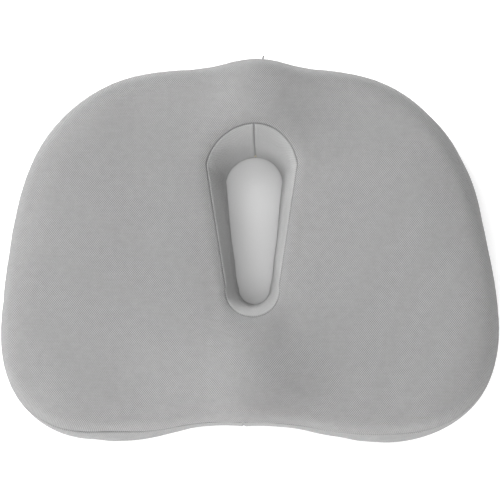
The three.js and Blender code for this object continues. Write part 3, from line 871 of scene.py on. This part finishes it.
def flat_plan(reach):
    """Flat coordinates of the seat and the underside: true lengths outwards from the hole's edge."""
    flat = np.zeros((ROWS, len(U), 2))
    for edge, seam in ((START["seat"], START["band"]), (START["sleeve"], START["bottom"])):
        rows = np.arange(min(edge, seam), max(edge, seam) + 1)
        outward = GRID[seam, :, :2] - GRID[edge, :, :2]
        outward /= np.linalg.norm(outward, axis=1)[:, None]
        flat[rows] = GRID[edge, :, :2] + np.abs(reach[rows] - reach[edge])[:, :, None] * outward
    return flat


def flat_cloth():
    """The cloth's flat coordinates: plan for the seat and underside, round-and-up for the walls."""
    steps = np.linalg.norm(np.diff(GRID, axis=0), axis=2)
    reach = np.concatenate([np.zeros((1, len(U))), np.cumsum(steps, 0)])
    up = np.broadcast_to(reach.mean(1)[:, None], reach.shape)
    band, sleeve = (np.stack([np.broadcast_to(U * length, up.shape), up], 2) for length in (ROUND, RIM_ROUND))
    return flat_plan(reach), band, sleeve


PLAN_CLOTH, BAND_CLOTH, SLEEVE_CLOTH = flat_cloth()


def opening_columns():
    return (U < ZIP_OPENING_SHARE - 1e-6) | (U >= 1 - ZIP_OPENING_SHARE - 1e-6)


def band_cells(side):
    """Cells of one side's band: its half of the way round, less the zip's opening."""
    rows = np.arange(START["band"], START["bottom"])[:, None]
    mine = (U < 0.5 - 1e-6) if side == "right" else (U >= 0.5 - 1e-6)
    below = rows >= START["below_zip_top"]
    return mine[None, :] & ~(below & opening_columns()[None, :])


def cover_panels():
    top = panel("seat_panel", START["seat"], START["band"], cloth=PLAN_CLOTH)
    add_piece(top, KNIT, ["cover_top_panel"])
    for side in ("right", "left"):
        cells = band_cells(side)
        band = panel(f"side_band_{side}", START["band"], START["bottom"], cells, BAND_CLOTH)
        add_piece(band, KNIT, [f"cover_side_band_{side}"])
    base = panel("underside_panel", START["bottom"], START["sleeve"], cloth=PLAN_CLOTH)
    add_piece(base, GRIP, ["cover_bottom_panel"])
    sleeve = panel("hole_sleeve", START["sleeve"], ROWS, cloth=SLEEVE_CLOTH)
    add_piece(sleeve, SLEEVE_KNIT, ["cover_hole_sleeve"])


# -------------------- foam and liner

GAP = 0.3
LINER = 0.6
LOWER_EDGE_RELIEF = 5
CORE_SPACING = 4.5
DEEPEST_SEAM = 2.9


def core_layers():
    rows = coarse_rows(CORE_SPACING)
    columns = even_columns(2)
    coarse = GRID[rows][:, columns]
    relief = (rows >= START["below_zip_top"]) & (rows <= START["bottom"] + 6)
    depth = DEEPEST_SEAM + GAP + relief * LOWER_EDGE_RELIEF
    liner_outer = coarse - depth[:, None, None] * surface_normals(coarse)
    inward = surface_normals(liner_outer)
    split = int(np.searchsorted(rows, START["bottom"] + 6))
    return liner_outer, liner_outer - LINER * inward, liner_outer - (LINER + GAP) * inward, split


def foam_and_liner():
    outer, inner, foam, split = core_layers()
    count, columns = foam.shape[:2]
    core = new_object("foam_block", foam.reshape(-1, 3), ring_faces(count, columns))
    add_piece(core, FOAM, ["foam_core"])
    closed = np.arange(count + 1) % count
    parts = (("upper", closed[: split + 1]), ("lower", closed[split:]))
    for half, rows in parts:
        liner = shell(f"liner_{half}", outer[rows], inner[rows], cloth=outer[rows][:, :, :2])
        add_piece(liner, LINING, [f"inner_liner_{half}"])


# -------------------- grip dots

DOT_PITCH = 9
DOT_RADIUS = 1.6
DOT_EDGE = 9  # the dots stop this far inside the flat underside's edges


def inside(points, ring):
    """Which points lie inside a closed plan curve."""
    x, y = points[:, 0][:, None], points[:, 1][:, None]
    a, b = ring[None], np.roll(ring, -1, 0)[None]
    crosses = (a[..., 1] > y) != (b[..., 1] > y)
    rise = np.where(crosses, b[..., 1] - a[..., 1], 1)
    at_x = a[..., 0] + (y - a[..., 1]) * (b[..., 0] - a[..., 0]) / rise
    return (crosses & (x < at_x)).sum(1) % 2 == 1


def offset_ring(ring, distance):
    """A clockwise plan curve moved outwards by this distance."""
    along = np.roll(ring, -1, 0) - np.roll(ring, 1, 0)
    normal = np.stack([-along[:, 1], along[:, 0]], 1)
    return ring + distance * normal / np.linalg.norm(normal, axis=1)[:, None]


def dot_places():
    """Staggered rows of places on the flat underside."""
    rise = DOT_PITCH * math.sqrt(3) / 2
    rows = range(-24, 25)
    columns = range(-28, 29)
    places = [((c + (r % 2) / 2) * DOT_PITCH, r * rise) for r in rows for c in columns]
    places = np.array(places)
    outer = offset_ring(GRID[START["bottom"] + 9, :, :2], -DOT_EDGE)
    hole = offset_ring(GRID[START["sleeve"], :, :2], DOT_EDGE)
    return places[inside(places, outer) & ~inside(places, hole)]


def joined(parts):
    """Vertices and faces of several closed bodies as one."""
    vertices, faces, start = [], [], 0
    for points, corners in parts:
        vertices.append(points)
        faces += [tuple(k + start for k in corner) for corner in corners]
        start += len(points)
    return np.vstack(vertices), faces


def stacked_faces(rings, sides):
    """Faces of a closed body made of rings stacked one after another, with flat ends."""
    faces = [tuple(range(sides - 1, -1, -1))]
    for k in range(rings - 1):
        for j in range(sides):
            i = (j + 1) % sides
            faces.append((k * sides + j, k * sides + i, (k + 1) * sides + i, (k + 1) * sides + j))
    last = (rings - 1) * sides
    faces.append(tuple(range(last, last + sides)))
    return faces


def turned(profile, sides):
    """A closed body turned about its own Z axis, from (radius, height) pairs from top to bottom."""
    angle = np.arange(sides) / sides * 2 * math.pi
    circle = np.stack([np.cos(angle), np.sin(angle)], 1)
    rings = [np.column_stack([radius * circle, np.full(sides, z)]) for radius, z in profile]
    return np.vstack(rings), [face[::-1] for face in stacked_faces(len(profile), sides)]


def grip_dots():
    profile = [(DOT_RADIUS + 0.1, 0.75), (DOT_RADIUS, 0.3), (DOT_RADIUS * 0.8, 0.08), (DOT_RADIUS * 0.4, 0)]
    points, faces = turned(profile, 12)
    dots = [(points + [x, y, 0], faces) for x, y in dot_places()]
    add_piece(new_object("grip_dots", *joined(dots)), SILICONE)


# -------------------- thread and stitches


def tube(path, away, radius, sides=6):
    """A closed tube along a path; away is a direction across the path at each point."""
    path = np.asarray(path, float)
    along = np.gradient(path, axis=0)
    along /= np.linalg.norm(along, axis=1)[:, None]
    side = away - (away * along).sum(1)[:, None] * along
    side /= np.linalg.norm(side, axis=1)[:, None]
    other = np.cross(along, side)
    angle = np.arange(sides) / sides * 2 * math.pi
    radius = np.broadcast_to(radius, len(path))[:, None, None]
    ring = np.cos(angle)[None, :, None] * side[:, None] + np.sin(angle)[None, :, None] * other[:, None]
    points = (path[:, None] + radius * ring).reshape(-1, 3)
    return points, stacked_faces(len(path), sides)


STITCH = 2.7
STITCH_GAP = 0.7
THREAD_RADIUS = 0.26
STITCH_SHAPE = ((0, -0.35, 0.5), (0.08, 0.02, 0.9), (0.5, 0.2, 1), (0.92, 0.02, 0.9), (1, -0.35, 0.5))


def along_row(row, shares):
    """Points and normals of the cover at these shares of the way round, in one row of the grid."""
    shares = shares - math.floor(shares[0])
    wide = np.concatenate([U[-6:] - 1, U, U[:6] + 1])
    pick = lambda values: np.concatenate([values[-6:], values, values[:6]])
    read = lambda grid: np.stack([np.interp(shares, wide, pick(grid[row, :, k])) for k in range(3)], 1)
    return read(SKIN), read(SKIN_NORMAL)


def stitch_row(name, row, half_length):
    """A line of stitches along one row of the cover, each dipping into the cloth at its ends."""
    pitch = STITCH + STITCH_GAP
    count = int(2 * half_length / pitch)
    parts = []
    for k in range(count):
        start = (k - count / 2) * pitch
        shares = np.array([(start + STITCH * share) / ROUND for share, _, _ in STITCH_SHAPE])
        points, normals = along_row(row, shares)
        lift = np.array([height for _, height, _ in STITCH_SHAPE])[:, None]
        radius = THREAD_RADIUS * np.array([size for _, _, size in STITCH_SHAPE])
        parts.append(tube(points + lift * normals, normals, radius))
    add_piece(new_object(name, *joined(parts)), THREAD)


def thread_end():
    """A thread end left at the rear of the top seam."""
    base = along_row(START["band"], np.array([6.8 / ROUND]))[0]
    curl = np.array([(0, -1.2, -0.5), (0.1, 0.5, 0.2), (0.2, 1.6, 1.2), (0.6, 2.6, 1.7), (0.7, 3.5, 1.6)])
    path = base + curl
    away = np.tile([1.0, 0.2, 0.1], (len(path), 1))
    item = new_object("thread_end", *tube(path, away, [0.6, 0.8, 0.7, 0.8, 0.5], 8))
    add_piece(item, THREAD)


# -------------------- care label

LABEL_SHARES = (0.795, 0.82)
LABEL_HEIGHT = 16
LABEL_CLOTH = 0.22
LABEL_NEAR = 0.45  # the inner layer's distance from the band
LABEL_FOLD = 0.32  # radius of the fold at the top


def label_path():
    """Height above the seam and distance from the band of the folded ribbon, from its outer end."""
    rise = np.linspace(0, 1, 14)
    curl = 0.9 * rise**3
    outer = np.stack([LABEL_HEIGHT * rise, LABEL_NEAR + 2 * LABEL_FOLD + curl], 1)
    angle = np.linspace(math.pi / 2, -math.pi / 2, 9)[1:-1]
    middle = LABEL_NEAR + LABEL_FOLD + curl[-1]
    fold = np.stack([LABEL_HEIGHT + LABEL_FOLD * np.cos(angle), middle + LABEL_FOLD * np.sin(angle)], 1)
    inner = np.stack([LABEL_HEIGHT * rise, LABEL_NEAR + curl], 1)[::-1]
    return np.vstack([outer, fold, inner])


def band_point(shares, height):
    """Points of the side band at these shares of the way round, at one height."""
    rows = np.arange(START["bottom"], START["band"] - 1, -1)
    read = lambda k: [np.interp(height, SKIN[rows, c, 2], SKIN[rows, c, k]) for c in range(len(U))]
    x, y = (np.interp(shares, U, read(k)) for k in (0, 1))
    return np.stack([x, y, np.full(len(shares), height)], 1)


def care_label():
    steps = 18
    shares = np.linspace(*LABEL_SHARES, steps)
    outward = np.array([*outward_normals(OUTLINE_CURVE, np.array([np.mean(LABEL_SHARES)]))[0], 0])
    path = label_path()
    ripple_out = 0.18 * np.sin(np.linspace(0, 7, steps))[:, None]
    middle = []
    for rise, out in path:
        share = min(rise / LABEL_HEIGHT, 1)
        middle.append(band_point(shares, FOOT_Z + 0.5 + rise) + (out + share * ripple_out) * outward)
    middle = np.array(middle)
    along = np.gradient(middle, axis=1)
    down = np.gradient(middle, axis=0)
    normal = np.cross(along, down)
    normal /= np.linalg.norm(normal, axis=2)[:, :, None]
    cells = np.ones((len(path) - 1, steps), bool)
    cells[:, -1] = False
    length = np.concatenate([[0], np.cumsum(np.linalg.norm(np.diff(path, axis=0), axis=1))])
    width = np.linspace(0, np.ptp(LABEL_SHARES) * ROUND, steps)
    cloth = np.stack(np.broadcast_arrays(width[None, :], length[:, None]), 2)
    half = LABEL_CLOTH / 2 * normal
    item = shell("ribbon_label", middle - half, middle + half, cells, cloth)
    add_piece(item, RIBBON, ["care_label"])


# -------------------- zip

ZIP_MID_Z = 12
TAPE_HALF = 142
TAPE_OUT = 362.5
TAPE_THICK = 0.6
TAPE_SPANS = {"upper": (12.55, 21), "lower": (5, 11.45)}
CHAIN_HALF = 134
COIL_MID_R = 364
COIL_PITCH = 1.25
COIL_STEPS = 14
WIRE = 0.27
COIL_DEEP = 1.2 - WIRE
COIL_NEAR = 0.16  # the heads' wire stops this far from the middle line
COIL_FAR = 2.9 - WIRE


def on_arc(along, radius, z):
    """Points at this length along the zip's arc, distance from its centre, and height."""
    angle = np.asarray(along) / ZIP_WALL_R
    parts = (radius * np.sin(angle), ZIP_CENTRE_Y + radius * np.cos(angle), z)
    return np.stack(np.broadcast_arrays(*parts), -1)


def zip_tape(half, low, high):
    """A woven tape with a thicker cord along the edge that carries the coil."""
    along = np.linspace(-TAPE_HALF, TAPE_HALF, 221)
    up = np.linspace(high, low, 27)
    near = np.abs(up - ZIP_MID_Z)
    swell = 0.22 * bell(near - 0.9, 0.35) + 0.1 * bell(np.abs(up - (high + low) / 2), 0.3)
    outer = on_arc(along[None, :], (TAPE_OUT + swell)[:, None], up[:, None])
    inner = on_arc(along[None, :], TAPE_OUT - TAPE_THICK, up[:, None])
    cells = np.ones((len(up) - 1, len(along)), bool)
    cells[:, -1] = False
    cloth = np.stack(np.broadcast_arrays(along[None, :], up[:, None]), 2)
    item = shell(f"tape_{half}", outer, inner, cells, cloth)
    add_piece(item, TAPE_CLOTH, [f"zip_tape_{half}"])


def zip_coil(half, side):
    """A nylon spiral round its core cord; its heads reach between those of the other coil."""
    turns = int(2 * CHAIN_HALF / COIL_PITCH) - 1
    turn = np.linspace(0, turns, turns * COIL_STEPS + 1)
    angle = 2 * math.pi * turn
    phase = 0 if side > 0 else COIL_PITCH / 2
    along = -CHAIN_HALF + 0.6 + phase + turn * COIL_PITCH
    middle = (COIL_NEAR + COIL_FAR) / 2
    reach = (COIL_FAR - COIL_NEAR) / 2
    z = ZIP_MID_Z + side * (middle + reach * np.cos(angle))
    path = on_arc(along, COIL_MID_R + COIL_DEEP * np.sin(angle), z)
    centre = on_arc(along, COIL_MID_R, ZIP_MID_Z + side * middle)
    core_along = np.linspace(-CHAIN_HALF + 0.8, CHAIN_HALF - 0.8, 120)
    core = on_arc(core_along, COIL_MID_R, ZIP_MID_Z + side * (middle + 0.15))
    upright = np.tile([0.0, 0.0, 1.0], (len(core), 1))
    parts = [tube(path, path - centre, WIRE), tube(core, upright, 0.42, 8)]
    add_piece(new_object(f"coil_{half}", *joined(parts)), NYLON, [f"zip_coil_{half}"])


def coil_stitches():
    """The two seams that hold each coil to its tape, as short stitches over every other turn."""
    parts = []
    for side in (-1, 1):
        for k in range(int(2 * (CHAIN_HALF - 3) / (2 * COIL_PITCH))):
            start = -CHAIN_HALF + 3 + 2 * COIL_PITCH * k
            along = start + np.array([0, 0.25, 1.1, 1.95, 2.2])
            radius = np.array([362.55, 362.9, 363.0, 362.9, 362.55])
            path = on_arc(along, radius, ZIP_MID_Z + side * 3.35)
            upright = np.tile([0.0, 0.0, 1.0], (len(path), 1))
            parts.append(tube(path, upright, 0.2))
    add_piece(new_object("tape_stitches", *joined(parts)), THREAD)


def softened(name, node, material, body, width, segments=3):
    """A copy of a CAD node's shape with its sharp edges rounded, as cast or pressed metal has them."""
    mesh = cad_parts[node].data.copy()
    item = bpy.data.objects.new(name, mesh)
    bpy.context.scene.collection.objects.link(item)
    mesh.materials.clear()
    work = bmesh.new()
    work.from_mesh(mesh)
    bmesh.ops.remove_doubles(work, verts=work.verts, dist=1e-6)
    bmesh.ops.dissolve_limit(work, angle_limit=math.radians(2), verts=work.verts, edges=work.edges)
    sharp = [e for e in work.edges if len(e.link_faces) == 2 and e.calc_face_angle() > math.radians(25)]
    bmesh.ops.bevel(
        work,
        geom=sharp,
        offset=width * MM,
        offset_type="OFFSET",
        segments=segments,
        profile=0.5,
        affect="EDGES",
        clamp_overlap=True,
    )
    work.to_mesh(mesh)
    work.free()
    mesh.polygons.foreach_set("use_smooth", [True] * len(mesh.polygons))
    mesh.set_sharp_from_angle(angle=math.radians(35))
    return add_piece(item, material, [node], body)


def zip_hardware():
    for node in ("zip_top_stop_upper", "zip_top_stop_lower", "zip_bottom_stop"):
        softened(node.replace("zip_", "") + "_clamp", node, METAL, "cover", 0.45)
    softened("slider_casting", "slider_body", METAL, "slider", 0.3)
    softened("slider_arch", "slider_bridge", METAL, "slider", 0.5)
    softened("pull_blade", "pull_tab", METAL, "pull_tab", 0.35)


def zip_fastener():
    for half, (low, high) in TAPE_SPANS.items():
        zip_tape(half, low, high)
    zip_coil("upper", 1)
    zip_coil("lower", -1)
    coil_stitches()
    zip_hardware()


# -------------------- the object

cover_panels()
foam_and_liner()
grip_dots()
stitch_row("topstitch_above_zip", START["below_zip_top"] - 4, ZIP_OPENING_SHARE * ROUND)
stitch_row("topstitch_below_zip", START["bottom"] + 4, ZIP_OPENING_SHARE * ROUND)
thread_end()
care_label()
zip_fastener()

# -------------------- stage, light and camera


FLOOR_REACH = 6000
FLOOR_Z = -0.2
FLOOR_GLOW = 0.5  # strength of the floor's own light, which fades out under the cushion
FLOOR_GLOW_HALF = {"X": 0.215, "Y": 0.165}  # half the size, in metres, of the patch without it
FLOOR_SHADE_SIDE = (-0.45, -0.7, 0.55)  # the floor darkens where a wall stands on this side
FLOOR_SHADE_REACH = 0.03


def floor_glow(n):
    """The floor's own light: none under the cushion, full outside it."""
    place = n.node("ShaderNodeSeparateXYZ", {"Vector": n.place()})
    reach = []
    for axis, half in FLOOR_GLOW_HALF.items():
        out = n.math("ABSOLUTE", n.math("DIVIDE", place.outputs[axis], half))
        reach.append(n.math("POWER", out, 3.0))
    ramp = {"Value": n.math("ADD", *reach), "From Min": 0.22, "From Max": 0.6, "To Max": FLOOR_GLOW}
    return n.node("ShaderNodeMapRange", ramp).outputs["Result"]


def floor():
    reach, z = FLOOR_REACH, FLOOR_Z
    corners = [(-reach, -reach, z), (reach, -reach, z), (reach, reach, z), (-reach, reach, z)]
    plane = new_object("floor", corners, [(0, 1, 2, 3)])
    n = Nodes("floor")
    n.shader.inputs["Roughness"].default_value = 0.9
    shade = {"Distance": FLOOR_SHADE_REACH, "Normal": FLOOR_SHADE_SIDE}
    open_air = n.node("ShaderNodeAmbientOcclusion", shade, samples=12).outputs["AO"]
    n.set(Base_Color=n.mix(open_air, grey(0.45), grey(0.83)))
    n.shader.inputs["Emission Color"].default_value = (1, 1, 1, 1)
    n.set(Emission_Strength=floor_glow(n))
    plane.data.materials.append(n.material)


LIGHT_DISTANCE = 2.2
LIGHT_SIZE = 0.9
SKY_LIGHT = 0.2
SKY_SEEN = 0.9
# Each light's direction, anticlockwise from +X and above the horizon in degrees, and its power in watts.
LIGHTS = {
    "left_front": (225, 25, 19),
    "left_rear": (135, 25, 34),
    "left_rear_high": (135, 50, 14),
    "right_rear": (45, 25, 10),
    "front": (270, 25, 28),
    "front_high": (270, 70, 4.5),
    "overhead": (0, 90, 12.5),
    "below": (270, -60, 40),
}


def sky():
    """A white studio surround that adds only a little light of its own."""
    world = bpy.data.worlds.new("studio")
    bpy.context.scene.world = world
    world.use_nodes = True
    tree = world.node_tree
    background = tree.nodes["Background"]
    background.inputs["Color"].default_value = (1, 1, 1, 1)
    seen = tree.nodes.new("ShaderNodeLightPath").outputs["Is Camera Ray"]
    strength = tree.nodes.new("ShaderNodeMapRange")
    strength.inputs["To Min"].default_value = SKY_LIGHT
    strength.inputs["To Max"].default_value = SKY_SEEN
    tree.links.new(seen, strength.inputs["Value"])
    tree.links.new(strength.outputs["Result"], background.inputs["Strength"])


def light():
    for name, (azimuth, elevation, power) in LIGHTS.items():
        data = bpy.data.lights.new(name, "AREA")
        data.shape = "DISK"
        data.size = LIGHT_SIZE
        data.energy = power
        item = bpy.data.objects.new(name, data)
        bpy.context.scene.collection.objects.link(item)
        a, e = math.radians(azimuth), math.radians(elevation)
        direction = Vector((math.cos(e) * math.cos(a), math.cos(e) * math.sin(a), math.sin(e)))
        item.location = direction * LIGHT_DISTANCE
        item.rotation_euler = (-item.location).to_track_quat("-Z", "Y").to_euler()
        item.visible_camera = False


CAMERA_TARGET = (0.0009, 0.0009, 0.03)
CAMERA_DISTANCE = 1.8
CAMERA_FRONT_TILT = math.radians(8.7)
CAMERA_RIGHT_TILT = math.radians(1.7)
CAMERA_SPAN = 0.4675  # metres across the picture at the target


def camera():
    data = bpy.data.cameras.new("camera")
    item = bpy.data.objects.new("camera", data)
    bpy.context.scene.collection.objects.link(item)
    data.sensor_width = 36
    data.lens = 36 * CAMERA_DISTANCE / CAMERA_SPAN
    turn = Euler((CAMERA_FRONT_TILT, CAMERA_RIGHT_TILT, 0))
    item.rotation_euler = turn
    item.location = Vector(CAMERA_TARGET) + turn.to_matrix() @ Vector((0, 0, CAMERA_DISTANCE))
    bpy.context.scene.camera = item


floor()
sky()
light()
camera()
bpy.context.scene.view_settings.view_transform = "Standard"
